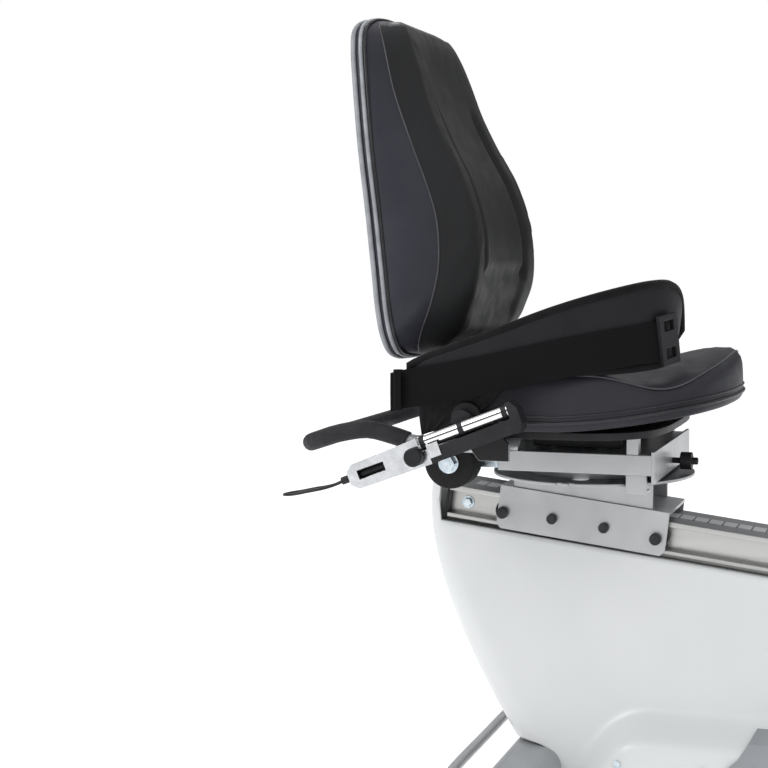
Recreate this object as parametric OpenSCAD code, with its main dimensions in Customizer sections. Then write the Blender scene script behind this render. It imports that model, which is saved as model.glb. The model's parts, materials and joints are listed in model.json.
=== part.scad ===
// Seat end of a training machine: a swivel seat on an inclined rail. +X forward, +Z up.

/* [Rail] */
// Slope of the rail in degrees, high at the rear
rail_tilt = 6.87; // [5.5:0.01:7.5]
// Height of the rail top at the swivel axis
rail_z = 407; // [404:1:408]
// Width of the rail
rail_w = 101; // [98:1:102]
// Height of the rail
rail_h = 49; // [48:1:50]
// Length of the rail
rail_len = 1020; // [1000:1:1030]
// Height of the groove in each side of the rail
groove_h = 32; // [32:0.5:33]

/* [Carriage] */
// Length of the saddle along the rail
saddle_len = 237; // [234:1:240]
// Width of the saddle over its side plates
saddle_w = 126; // [124:1:128]
// Height of a side plate
saddle_h = 60; // [56:1:60]
// Radius of a guide roller
guide_r = 15; // [14:0.1:15]
// Radius of the swivel plate
swivel_r = 140; // [138:1:141]

/* [Seat] */
// Half width of the cushion
seat_half = 225; // [215:1:226]
// Half length of the cushion
seat_reach = 200; // [190:1:200]
// Thickness of the cushion
cushion_t = 76; // [60:1:78]
// Height of the cushion underside
cushion_z = 528; // [528:1:529]

/* [Backrest] */
// Lean of the backrest in degrees
back_lean = 8.6; // [5:0.1:9]
// Height of the backrest cushion
back_h = 466; // [455:1:468]

/* [Side arms] */
// Slope of a side arm in degrees
arm_tilt = 21.3; // [19:0.1:22]
// Distance of a side arm from the middle
arm_y = 260; // [260:1:264]

/* [Base] */
// Half length of the floor bars
bar_half = 310; // [290:1:310]
// Half width of the fairing at the rail
cover_top = 62; // [60:1:64]
// Half width of the fairing at the floor
cover_low = 108; // [104:1:112]

/* [Hidden] */
$fn = 64;

seat_x = -240;
silver = [0.74, 0.75, 0.76];
white = [0.92, 0.93, 0.93];
black = [0.09, 0.09, 0.1];
grey = [0.45, 0.46, 0.47];
steel = [0.8, 0.81, 0.83];
vinyl = [0.2, 0.2, 0.24];

// ---- rail and carriage sizes, in the rail's own axes ----
rail_back = -196;
lip = 7.5;
groove_z = -lip - groove_h / 2;
groove_d = 17;
saddle_top = 14;
saddle_t = 5;
roller_x = [-112, 103];
screw_x = [-42, 31];
roller_gap = 1.2;
roller_w = 11.5;
axle_r = 5;
beam_w = 70;
flange_x = 841.4;
flange_t = 12;
saddle_mid = -1.5;

// ---- heights of the swivel stack ----
plate_z = 449;
plate_t = 4;
ring_z = 480;
bearing_z = 480.5;
deck_z = 488;
deck_t = 6;
frame_z = 467;
king_r = 12;
run_gap = 0.05;
lock_z = 470;
frame_back = -100;
frame_front = 107;
frame_y = 140;

function rail_top(x) = rail_z - x * tan(rail_tilt);
function under_rail(x, d) = rail_top(x) - d / cos(rail_tilt);

module at_seat() translate([seat_x, 0, 0]) children();
module on_rail() translate([seat_x, 0, rail_z]) rotate([0, rail_tilt, 0]) children();
module both() {
    children();
    mirror([0, 1, 0]) children();
}
module box(x0, x1, y0, y1, z0, z1) translate([x0, y0, z0]) cube([x1 - x0, y1 - y0, z1 - z0]);
module rod_y(x, z, y0, y1, r) translate([x, y0, z]) rotate([-90, 0, 0]) cylinder(h = y1 - y0, r = r);
module rod_x(y, z, x0, x1, r) translate([x0, y, z]) rotate([0, 90, 0]) cylinder(h = x1 - x0, r = r);
module rod_z(x, y, z0, z1, r) translate([x, y, z0]) cylinder(h = z1 - z0, r = r);
// a flat shape drawn in X and Z, from y0 to y1
module side_plate(y0, y1) translate([0, y1, 0]) rotate([90, 0, 0]) linear_extrude(y1 - y0) children();
// a flat shape drawn in Y and Z, from x0 to x1
module cross_plate(x0, x1) translate([x0, 0, 0]) rotate([90, 0, 90]) linear_extrude(x1 - x0) children();

// ---- a tube swept along points, with its rings set square to the path ----
function unit(v) = v / norm(v);
function catmull(a, b, c, d, t) = 0.5 * (2 * b + (c - a) * t + (2 * a - 5 * b + 4 * c - d) * t * t
    + (3 * b - a - 3 * c + d) * t * t * t);
function smooth(p, k) = let (n = len(p)) concat([for (i = [0 : n - 2]) for (j = [0 : k - 1])
    catmull(p[max(i - 1, 0)], p[i], p[i + 1], p[min(i + 2, n - 1)], j / k)], [p[n - 1]]);
function heading(p, i) = unit(p[min(i + 1, len(p) - 1)] - p[max(i - 1, 0)]);
function ring(c, t, r, s) = let (a = unit(cross(t, [0, 0, 1])), b = cross(a, t))
    [for (k = [0 : s - 1]) c + r * (cos(360 * k / s) * a + sin(360 * k / s) * b)];
module tube(p, r, s = 16) {
    n = len(p);
    points = [for (i = [0 : n - 1]) each ring(p[i], heading(p, i), r, s)];
    walls = [for (i = [0 : n - 2]) for (k = [0 : s - 1])
        [i * s + k, i * s + (k + 1) % s, (i + 1) * s + (k + 1) % s, (i + 1) * s + k]];
    ends = [[for (k = [s - 1 : -1 : 0]) k], [for (k = [0 : s - 1]) (n - 1) * s + k]];
    polyhedron(points = points, faces = concat(walls, ends), convexity = 6);
}
// the points, then all but the last of them again in reverse on the other side
function mirrored(p) = concat(p, [for (i = [len(p) - 2 : -1 : 0]) [p[i][0], -p[i][1], p[i][2]]]);

// ================= base =================
module rail_profile() difference() {
    polygon([[-rail_w / 2, 0], [rail_w / 2, 0], [rail_w / 2, 4 - rail_h], [rail_w / 2 - 4, -rail_h],
        [4 - rail_w / 2, -rail_h], [-rail_w / 2, 4 - rail_h]]);
    for (s = [-1, 1]) {
        translate([s * (rail_w / 2 - groove_d / 2 + 0.5), groove_z])
            square([groove_d + 1, groove_h], center = true);
        translate([s * 15.5, -rail_h / 2]) square([27, rail_h - 8], center = true);
    }
}
module seat_rail() color(silver) on_rail() cross_plate(rail_back, rail_back + rail_len) rail_profile();
module rail_end_caps() color(black) on_rail() {
    box(rail_back - 3, rail_back, -rail_w / 2, rail_w / 2, -rail_h, 0);
    box(rail_back + rail_len, rail_back + rail_len + 3, -rail_w / 2, rail_w / 2, -rail_h, 0);
}
module rail_scale() color("gainsboro") on_rail() box(-170, 560, -14, 14, 0, 0.8);
module rail_bolts() color(steel) on_rail() both() for (x = [-172, 520]) {
    rod_y(x, groove_z, rail_w / 2 - groove_d, rail_w / 2 - groove_d + 1.6, 9);
    rod_y(x, groove_z, rail_w / 2 - groove_d + 1.6, rail_w / 2 - groove_d + 7, 6.5, $fn = 6);
}
module main_beam() color(grey) intersection() {
    on_rail() difference() {
        box(-150, 890, -beam_w / 2, beam_w / 2, -rail_h - beam_w, -rail_h);
        box(-151, 891, 4 - beam_w / 2, beam_w / 2 - 4, 4 - rail_h - beam_w, -rail_h - 4);
    }
    at_seat() box(-300, flange_x, -100, 100, 0, 500);
}
module leg(x0, x1) at_seat() difference() {
    side_plate(-30, 30) polygon([[x0, 87], [x1, 87], [x1, under_rail(x1, rail_h + beam_w)],
        [x0, under_rail(x0, rail_h + beam_w)]]);
    box(x0 + 4, x1 - 4, -26, 26, 86, 500);
}
module support_legs() color(grey) {
    leg(-85, -35);
    leg(655, 705);
}
module bar_section(grow = 0) {
    translate([-40 - grow, 28]) square([80 + 2 * grow, 34]);
    for (s = [-1, 1]) translate([s * (15 + grow), 62]) circle(r = 25);
    translate([-15 - grow, 60]) square([30 + 2 * grow, 27]);
}
module floor_bar(x) color(grey) at_seat() translate([x, 0, 0]) difference() {
    side_plate(4 - bar_half, bar_half - 4) bar_section();
    side_plate(-bar_half, bar_half) translate([0, 6]) scale(0.9) bar_section();
    both() rod_z(0, 270, 20, 34.2, 6 + run_gap);
    both() rod_x(190, 58, -50, -30, 7.6);
}
module floor_bars() {
    floor_bar(-60);
    floor_bar(680);
}
module floor_bar_caps() color(grey) at_seat() both() for (x = [-60, 680])
    translate([x, 0, 0]) side_plate(bar_half - 4, bar_half) bar_section();
module feet() color(black) at_seat() both() for (x = [-60, 680]) {
    rod_z(x, 270, 0, 14, 26);
    rod_z(x, 270, 14, 22, 18);
    rod_z(x, 270, 22, 34, 6);
}
lift_path = [[-97, -190, 58], [-120, -190, 58], [-142, -186, 59], [-156, -168, 60], [-159, -130, 60],
    [-159, 0, 60]];
module lift_handle() color(silver) at_seat()
    tube(smooth(mirrored(lift_path), 4), 7.5);
module front_flange() color(grey) at_seat() difference() {
    box(flange_x, flange_x + flange_t, -90, 90, 60, 290);
    for (y = [-70, 70]) for (z = [85, 265]) rod_x(y, z, flange_x - 1, flange_x + flange_t + 1, 6.5);
}

// side outline of the fairing, drawn in X and Z; g moves it inwards
function bend(a, b, c, t) = (1 - t) * (1 - t) * a + 2 * t * (1 - t) * b + t * t * c;
function stern(g) = [for (i = [0 : 12]) bend([-229, 441], [-256, 318], [-107, 91], i / 12) + [g, 0]];
module fairing_outline(g) polygon(concat(stern(g), [[-62 + g, 91], [-34 + g, 82], [-22 + g, 66],
    [-18 + g, 28 - g * 4], [flange_x - 1, 28 - g * 4], [flange_x - 1, 441]]));
module fairing_section(g) polygon([[-cover_low + g, 0], [cover_low - g, 0], [cover_low - g, 80],
    [cover_top - g, 380], [cover_top - g, 500], [-cover_top + g, 500], [-cover_top + g, 380],
    [-cover_low + g, 80]]);
module fairing_body(g) intersection() {
    side_plate(-150, 150) fairing_outline(g);
    cross_plate(-260, 900) fairing_section(g);
}
module fairing() difference() {
    at_seat() fairing_body(0);
    at_seat() fairing_body(3);
    on_rail() box(rail_back - 4, 1000, -150, 150, -rail_h - 0.5, 300);
    bar_gap(-60);
    bar_gap(680);
    at_seat() box(-85.2, -34.8, -30.2, 30.2, 80, 120);
}
module bar_gap(x) at_seat() translate([x, 0, 0]) side_plate(-200, 200) bar_section(2);
module fairing_right() color(white) intersection() {
    fairing();
    box(-500, 600, -150, -0.1, 0, 500);
}
module fairing_left() color(white) intersection() {
    fairing();
    box(-500, 600, 0.1, 150, 0, 500);
}
// flared lower skirt on each side
module skirt_section(g) polygon([[cover_low + 0.3, 30 - g * 4], [152 - g, 30 - g * 4], [152 - g, 100],
    [142 - g, 122 - g], [112, 136 - g], [cover_low - 7, 137 - g]]);
module skirt() difference() {
    skirt_shell();
    bar_gap(680);
}
module skirt_shell() at_seat() difference() {
    intersection() {
        cross_plate(-10, flange_x - 1) skirt_section(0);
        side_plate(0, 200) polygon([[-10, 28], [-10, 60], [30, 110], [70, 140], [900, 140], [900, 28]]);
    }
    cross_plate(-6, flange_x - 5) intersection() {
        skirt_section(3);
        translate([cover_low + 3, 0]) square([100, 200]);
    }
    fairing_cut();
}
module fairing_cut() intersection() {
    side_plate(-150, 150) fairing_outline(0);
    cross_plate(-260, 900) fairing_section(-0.2);
}
module skirts() color(white) both() skirt();
module step_pads() color([0.33, 0.34, 0.36]) at_seat() both() difference() {
    intersection() {
        cross_plate(200, 600) polygon([[114, 136], [114, 140], [144, 126.5], [156, 101], [156, 40],
            [152.2, 40], [152.2, 100], [142.2, 122]]);
        side_plate(0, 200) polygon([[203, 40], [203, 76], [206, 91], [223, 107], [243, 138], [243, 150],
            [560, 150], [560, 138], [580, 107], [597, 91], [600, 76], [600, 40]]);
    }
    for (i = [0 : 7]) box(262 + i * 36, 280 + i * 36, 113, 160, 150, 160);
}
module cover_screws() color(steel) at_seat() both() for (x = [66, 178, 640, 740])
    rod_y(x, 88, 152, 154.5, 5);
module wheel_brackets() color(grey) at_seat() both() {
    box(720, 770, 186, 190, 30, 52);
    box(720, 770, 226, 230, 30, 52);
    rod_y(762, 40, 182, 234, 5);
}
module transport_wheels() color(black) at_seat() both() translate([0, 208, 0]) difference() {
    rod_y(762, 40, -16, 16, 32);
    rod_y(762, 40, -17, 17, 5.05);
}

// ================= carriage =================
module saddle() color(silver) on_rail() difference() {
    union() {
        box(saddle_mid - saddle_len / 2, saddle_mid + saddle_len / 2, -saddle_w / 2, saddle_w / 2,
            saddle_top - saddle_t, saddle_top);
        both() side_plate(saddle_w / 2 - saddle_t, saddle_w / 2) cheek();
    }
    for (x = concat(roller_x, screw_x)) rod_y(x, groove_z, -100, 100, axle_r);
}
module cheek() difference() {
    translate([saddle_mid - saddle_len / 2, saddle_top - saddle_h]) square([saddle_len, saddle_h]);
    for (s = [-1, 1]) translate([saddle_mid + s * saddle_len / 2, saddle_top - saddle_h])
        rotate(45) square(9, center = true);
}
module riser() color(silver) at_seat() difference() {
    side_plate(-59, 59) polygon([[-100, saddle_line(-100)], [94, saddle_line(94)], [94, plate_z],
        [-100, plate_z]]);
    box(-110, 110, -54, 54, 300, plate_z - 5);
    rod_z(0, 0, 400, 500, king_r + run_gap);
}
function saddle_line(x) = rail_top(x) + saddle_top / cos(rail_tilt);
module saddle_screws() color(black) on_rail() both() {
    for (x = roller_x) {
        rod_y(x, groove_z, rail_w / 2 - groove_d + 1.5, saddle_w / 2, axle_r);
        rod_y(x, groove_z, saddle_w / 2, saddle_w / 2 + 8, 8);
    }
    for (x = screw_x) {
        rod_y(x, groove_z + 3, saddle_w / 2, saddle_w / 2 + 7, 7);
    }
}
module guide_pads() color(black) on_rail() both()
    for (x = [-100, 62]) box(x, x + 38, 34, 48, 0.3, saddle_top - saddle_t);
module guide_roller(i, side) color(black) on_rail() translate([0, side * (rail_w / 2), 0]) difference() {
    rod_y(roller_x[i], groove_z, -side * roller_gap - roller_w * (1 + side) / 2,
        -side * roller_gap + roller_w * (1 - side) / 2, guide_r);
    rod_y(roller_x[i], groove_z, -30, 30, axle_r + run_gap);
}
module guide_roller_1() guide_roller(0, -1);
module guide_roller_2() guide_roller(1, -1);
module guide_roller_3() guide_roller(0, 1);
module guide_roller_4() guide_roller(1, 1);
module swivel_plate() color(silver) at_seat() difference() {
    rod_z(0, 0, plate_z, plate_z + plate_t, swivel_r);
    rod_z(0, 0, plate_z - 1, plate_z + plate_t + 1, king_r + run_gap);
    for (y = [-97, 97]) rod_z(3, y, plate_z - 1, plate_z + plate_t + 1, 11.5);
    for (a = [-97, -90, 83, 90]) rotate(a) box(swivel_r - 5, swivel_r + 5, -4, 4, plate_z - 1,
        plate_z + plate_t + 1);
}
module lock_ring() color(silver) at_seat() difference() {
    rod_z(0, 0, plate_z + plate_t, ring_z, 92);
    rod_z(0, 0, plate_z, ring_z + 1, king_r + run_gap);
    for (a = [0, 90, -90, 180]) rotate(a) rod_x(0, lock_z, 74, 100, 4.5);
}
module king_bolt() color(steel) at_seat() {
    rod_z(0, 0, 428, deck_z + deck_t + 4, king_r);
    rod_z(0, 0, deck_z + deck_t + 0.3, deck_z + deck_t + 4, 28);
    rod_z(0, 0, deck_z + deck_t + 4, deck_z + deck_t + 14, 18, $fn = 6);
    rod_z(0, 0, 430, plate_z - 5, 18, $fn = 6);
}

// ================= seat =================
module seat_frame() color(silver) at_seat() {
    both() difference() {
        box(frame_back, frame_front, frame_y - 30, frame_y, frame_z, deck_z + deck_t);
        box(frame_back - 1, frame_front + 1, frame_y - 27, frame_y - 3, frame_z + 3, deck_z + deck_t - 3);
    }
    difference() {
        box(frame_back, frame_front, 30 - frame_y, frame_y - 30, deck_z, deck_z + deck_t);
        rod_z(0, 0, deck_z - 1, deck_z + deck_t + 1, king_r + run_gap);
    }
}
module swivel_bearing() color(steel) at_seat() difference() {
    rod_z(0, 0, bearing_z, deck_z, 80);
    rod_z(0, 0, bearing_z - 1, deck_z + 1, king_r + run_gap);
}
module front_plate() color(silver) at_seat() difference() {
    box(frame_front, frame_front + 4, -frame_y, frame_y, 457, 498);
    rod_x(0, lock_z, frame_front - 1, frame_front + 5, 4 + run_gap);
}
module keepers() color(silver) at_seat() both() {
    box(72, 100, 129, 134, 441, frame_z);
    box(72, 100, 109, 129, 441, 446);
}
module seat_posts() color(silver) at_seat() both() for (x = [-88, 74])
    box(x, x + 16, 124, 140, deck_z + deck_t, 518);
function rounded(a, b, n, f) = [for (i = [0 : f - 1]) let (t = 360 * i / f)
    [a * sign(cos(t)) * pow(abs(cos(t)), 2 / n), b * sign(sin(t)) * pow(abs(sin(t)), 2 / n)]];
module seat_pan() color(black) at_seat() {
    translate([-28, 0, 0]) flat_plate(rounded(seat_reach - 50, seat_half - 22, 3.4, 64), 518,
        cushion_z - 0.5);
    both() box(-60, 58, 84, 104, 497, 518);
}
module flat_plate(p, z0, z1) translate([0, 0, z0]) linear_extrude(z1 - z0) polygon(p);
module seat_cushion() color(vinyl) at_seat()
    flat_plate(rounded(seat_reach, seat_half, 3.4, 64), cushion_z, cushion_z + cushion_t);
arm_x = -115;
hub_z = 546;
cross_x = -78;
cross_z = 507;
cross_r = 9.5;
roller_z = 478;
roller_r = 35;
module pivot_brackets() color(silver) at_seat() both() {
    rod_y(arm_x, hub_z, 229, 234, 20);
    side_plate(229, 234) polygon([[-98, 492], [-132, 536], [-115, 560], [-94, 548], [-58, 514],
        [-58, 492]]);
    rod_y(cross_x, cross_z, frame_y, 229, cross_r);
}
grab_path = [[-84, -200, 507], [-110, -200, 506.5], [-140, -200, 506.5], [-171, -200, 507],
    [-205, -200, 510], [-229, -200, 517], [-262, -200, 523], [-300, -199, 517], [-335, -188, 506],
    [-355, -165, 499], [-361, -135, 497], [-361, 0, 497]];
grab_all = mirrored(grab_path);
module grab_bar() color(silver) at_seat() difference() {
    tube(smooth(grab_all, 3), 9.5, 16);
    rod_y(cross_x, cross_z, -230, 230, cross_r + run_gap);
}
module grab_grip() color(black) at_seat() difference() {
    tube(smooth([for (i = [4 : 18]) grab_all[i]], 3), 12, 16);
    tube(smooth(grab_all, 3), 9.5, 16);
}
module roller_mounts() color(silver) at_seat() both() {
    side_plate(112, 118) polygon([[-185, 474], [-185, 496], [-100, 494], [-100, 467], [-140, 467]]);
    rod_y(-159, roller_z, 118, 127, 12);
    rod_y(-159, roller_z, 118, 171, 6);
    rod_y(-159, roller_z, 169, 171, 14);
    rod_y(-159, roller_z, 171, 178, 11, $fn = 6);
}
module seat_roller(side) color(black) at_seat() translate([0, side * 148, 0]) difference() {
    rod_y(-159, roller_z, -20, 20, roller_r);
    rod_y(-159, roller_z, -21, 21, 6 + run_gap);
}
module seat_roller_left() seat_roller(1);
module seat_roller_right() seat_roller(-1);
hinge = [-228, 500];
module back_bracket() color(silver) at_seat() {
    both() difference() {
        side_plate(22.5, 28) polygon([[-243, 486], [-243, 516], [-70, 516], [-70, 494], [-100, 494],
            [-100, 486]]);
        rod_y(hinge[0], hinge[1], 0, 60, 8);
    }
    rod_y(hinge[0], hinge[1], -32, 32, 8);
    rod_y(hinge[0], hinge[1], -37, -28, 12, $fn = 6);
    rod_y(hinge[0], hinge[1], 28, 37, 12, $fn = 6);
}
module lock_plunger() color(black) at_seat() {
    rod_x(0, lock_z, 92.8, 124, 4);
    rod_x(0, lock_z, 122, 138, 12);
    rod_x(0, lock_z, 138, 146, 5);
}

// plan of the belt, drawn in X and Y, from the rear corner to the front
belt_line = [[-190, -236], [-120, -238], [-50, -236], [20, -226], [80, -202], [118, -165], [126, -120]];
function beside(p, i, d) = let (t = unit(p[min(i + 1, len(p) - 1)] - p[max(i - 1, 0)]))
    p[i] + d * [t[1], -t[0]];
function ribbon(p, n, d0, d1) = concat([for (i = [0 : n]) beside(p, i, d0)],
    [for (i = [n : -1 : 0]) beside(p, i, d1)]);
belt_fine = smooth(belt_line, 3);
module belt_pad() color(black) at_seat() {
    intersection() {
        flat_plate(ribbon(belt_fine, 18, -7, 1), 500, 800);
        side_plate(-300, 0) polygon([[-192, 606], [-120, 606], [0, 608], [140, 612], [140, 700],
            [110, 714], [0, 690], [-120, 656], [-192, 622]]);
    }
    side_plate(-228.5, -225.6) polygon([[-190, 612], [-60, 612], [-80, 548], [-176, 520]]);
    side_plate(-232, -225.6) polygon([[-190, 607], [-60, 607], [-60, 612], [-190, 612]]);
}
module belt_strap() color(black) at_seat() intersection() {
    flat_plate(ribbon(belt_fine, 15, 1.5, 4), 500, 800);
    side_plate(-300, 0) polygon([[-200, 560], [-120, 578], [0, 604], [130, 624], [130, 672], [0, 652],
        [-120, 626], [-200, 606]]);
}
module belt_buckle() color(black) at_seat() translate([118, -165, 638]) rotate([0, -8, 46])
    box(-12, 12, -17.5, -6.2, -30, 30);

// ================= backrest =================
module on_back() at_seat() translate([hinge[0], 0, hinge[1]]) rotate([0, -back_lean, 0]) children();
module back_post() color(silver) on_back() difference() {
    union() {
        box(-10, 10, -22, 22, 0, 330);
        rod_y(0, 0, -22, 22, 14);
    }
    rod_y(0, 0, -23, 23, 8 + run_gap);
}
back_low = 114;
back_side = [[0, 0], [85, 1], [140, 6], [178, 26], [196, 66], [197, 118], [180, 196], [160, 282],
    [146, 356], [134, 410], [112, 438], [70, 447], [0, 448]];
function back_outline(g) = let (p = smooth(back_side, 3), s = back_h / 448)
    concat([for (q = p) [max(q[0] - g, 0), back_low + g + q[1] * s * (back_h - 2 * g) / back_h]],
    [for (i = [len(p) - 2 : -1 : 1]) [-max(p[i][0] - g, 0),
        back_low + g + p[i][1] * s * (back_h - 2 * g) / back_h]]);
module back_shell() color(black) on_back() cross_plate(10.3, 23) polygon(back_outline(5));
module back_cushion() color(vinyl) on_back() intersection() {
    cross_plate(23.5, 140) polygon(back_outline(0));
    side_plate(-210, 210) polygon([[23.5, 114], [74, 116], [100, 144], [114, 205], [108, 290], [86, 380],
        [64, 480], [56, 560], [48, 580], [23.5, 580]]);
}

// ================= side arms =================
// Each arm is drawn on the +Y side along its own axis and mirrored for the other side.
module on_arm(side) at_seat() mirror([0, side < 0 ? 1 : 0, 0]) translate([arm_x, arm_y, 524])
    rotate([0, -arm_tilt, 0]) children();
module arm(side) color(black) on_arm(side) {
    box(-42, 74, -11, 11, -19, 0);
    rod_y(6, 20, -25.5, -10.4, 13);
    side_plate(-13.5, -10.4) polygon([[-8, -10], [-8, 24], [6, 34], [20, 24], [20, -10]]);
    side_plate(-12, 12) polygon([[74, -20], [74, 21], [80, 21], [87, 11], [87, -11], [81, -20]]);
}
rod_lift = 10.4;
module arm_rod(side) color(steel) on_arm(side) {
    rod_x(0, rod_lift, -52, 74, 9.2);
    for (x = [-50, 4, 65]) rod_x(0, rod_lift, x, x + 7, 9.9);
}
module arm_latch(side) color(silver) on_arm(side) difference() {
    union() {
        side_plate(-10, 12) polygon([[-146, -17], [-42, -19], [-42, 0.4], [-52, 0.4], [-52, 18],
            [-146, 16], [-156, 8], [-156, -9]]);
        box(-42, -26, 11.2, 13, -12, 6);
    }
    box(-150, -56, -7, 9, -13, 12);
    box(-142, -104, 8, 14, -6, 6);
    rod_x(0, 0, -160, -140, 3.05);
}
loop_half = [[-168, 2.3, 0], [-180, 5, -1], [-196, 10, 0], [-214, 14, 3], [-234, 14, 6], [-248, 8.5, 9],
    [-253, 0, 10]];
module latch_pull(side) color(black) on_arm(side) {
    rod_x(0, 0, -160, -104, 3);
    rod_x(0, 0, -140, -108, 5.5);
    rod_x(0, 0, -170, -160, 5);
    tube(smooth(mirrored(loop_half), 3), 2, 8);
}
module clamp_knob(side) color(black) on_arm(side) rod_y(-60, -3, 13.2, 26, 12);
module arm_right() arm(-1);
module arm_rod_right() arm_rod(-1);
module arm_latch_right() arm_latch(-1);
module clamp_knob_right() clamp_knob(-1);
module latch_pull_right() latch_pull(-1);
module arm_left() arm(1);
module arm_rod_left() arm_rod(1);
module arm_latch_left() arm_latch(1);
module clamp_knob_left() clamp_knob(1);
module latch_pull_left() latch_pull(1);

seat_rail();
rail_end_caps();
rail_scale();
rail_bolts();
main_beam();
support_legs();
floor_bars();
floor_bar_caps();
feet();
lift_handle();
front_flange();
fairing_right();
fairing_left();
skirts();
step_pads();
cover_screws();
wheel_brackets();
transport_wheels();
saddle();
riser();
saddle_screws();
guide_pads();
swivel_plate();
lock_ring();
king_bolt();
guide_roller_1();
guide_roller_2();
guide_roller_3();
guide_roller_4();
seat_frame();
swivel_bearing();
front_plate();
keepers();
seat_posts();
seat_pan();
seat_cushion();
pivot_brackets();
grab_bar();
grab_grip();
roller_mounts();
back_bracket();
seat_roller_right();
seat_roller_left();
lock_plunger();
belt_pad();
belt_strap();
belt_buckle();
back_post();
back_shell();
back_cushion();
arm_right();
arm_rod_right();
arm_latch_right();
clamp_knob_right();
latch_pull_right();
arm_left();
arm_rod_left();
arm_latch_left();
clamp_knob_left();
latch_pull_left();
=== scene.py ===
import json
import math

import bmesh
import bpy
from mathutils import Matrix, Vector
from mathutils.kdtree import KDTree

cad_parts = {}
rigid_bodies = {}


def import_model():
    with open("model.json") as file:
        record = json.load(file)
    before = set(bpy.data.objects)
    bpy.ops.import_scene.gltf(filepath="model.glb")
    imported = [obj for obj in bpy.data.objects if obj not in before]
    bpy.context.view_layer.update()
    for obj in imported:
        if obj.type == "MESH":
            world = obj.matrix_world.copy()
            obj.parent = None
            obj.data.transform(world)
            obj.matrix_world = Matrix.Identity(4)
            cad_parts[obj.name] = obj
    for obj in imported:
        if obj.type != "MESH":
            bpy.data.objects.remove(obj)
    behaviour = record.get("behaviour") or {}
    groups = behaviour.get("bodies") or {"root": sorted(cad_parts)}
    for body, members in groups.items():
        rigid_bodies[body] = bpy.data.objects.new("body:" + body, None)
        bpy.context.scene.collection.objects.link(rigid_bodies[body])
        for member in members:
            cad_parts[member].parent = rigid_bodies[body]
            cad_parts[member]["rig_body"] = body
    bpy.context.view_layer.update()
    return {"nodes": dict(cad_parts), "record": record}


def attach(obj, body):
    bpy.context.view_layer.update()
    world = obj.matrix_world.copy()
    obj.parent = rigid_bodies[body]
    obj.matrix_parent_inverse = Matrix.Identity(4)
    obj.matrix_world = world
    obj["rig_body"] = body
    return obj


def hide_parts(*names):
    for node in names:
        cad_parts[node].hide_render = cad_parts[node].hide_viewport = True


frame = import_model()

# Lengths are in metres, but the lens is in millimetres. SWIVEL, HINGE, ARM_POINT, the camera and the
# lights are placed in the row frame. Seat, belt and fairing measure X from the swivel axis.
SWIVEL = Vector((-0.24, 0, 0))
TILT = math.radians(6.87)
RAIL_Z = 0.407
LEAN = math.radians(8.6)
HINGE = Vector((-0.468, 0, 0.5))
BACK_LOW = 0.114
BACK_HIGH = 0.466
BACK_PLANE = 0.0147
ARM_TILT = math.radians(21.3)
ARM_POINT = Vector((-0.355, 0.26, 0.524))
ROD_RISE = 0.0104
ROD_R = 0.0092
UP = Vector((0, 0, 1))
SAME_POINT = 1e-6

# The camera that shows the object as the photograph does, and how far the view and the floor reach.
CAMERA_PLACE = (0.242, -2.155, 0.767)
CAMERA_PITCH = math.radians(86.56)
CAMERA_TURN = math.radians(16.33)
CAMERA_LENS = 74.37
CAMERA_SHIFT = (-0.14, -0.0578)
VIEW_LIMIT = 60
FLOOR_REACH = 14


# ---------------------------------------------------------------- camera and studio
def linked(name, data):
    """A new object in the scene."""
    obj = bpy.data.objects.new(name, data)
    bpy.context.scene.collection.objects.link(obj)
    return obj


def make_camera():
    """The photograph's viewpoint: out on the right, a little ahead of the seat and turned back to it."""
    data = bpy.data.cameras.new("camera")
    data.lens = CAMERA_LENS
    data.sensor_width = 36
    data.shift_x, data.shift_y = CAMERA_SHIFT
    data.clip_end = VIEW_LIMIT
    cam = linked("camera", data)
    cam.location = CAMERA_PLACE
    cam.rotation_euler = (CAMERA_PITCH, 0, CAMERA_TURN)
    bpy.context.scene.camera = cam


def area_light(name, place, target, size, power):
    data = bpy.data.lights.new(name, "AREA")
    data.shape = "RECTANGLE"
    data.size, data.size_y = size
    data.energy = power
    lamp = linked(name, data)
    lamp.location = place
    lamp.rotation_euler = (Vector(target) - Vector(place)).to_track_quat("-Z", "Y").to_euler()


def put(node, values):
    """Sets a node's inputs by their names."""
    for name, value in values.items():
        node.inputs[name].default_value = value


def mixed_colour(tree, share, first, second):
    """A mix of two colours, each a plain value or another node's output."""
    node = tree.nodes.new("ShaderNodeMix")
    node.data_type = "RGBA"
    tree.links.new(share, node.inputs["Factor"])
    for socket, value in ((node.inputs[6], first), (node.inputs[7], second)):
        if isinstance(value, tuple):
            socket.default_value = value
        else:
            tree.links.new(value, socket)
    return node.outputs[2]


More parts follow.
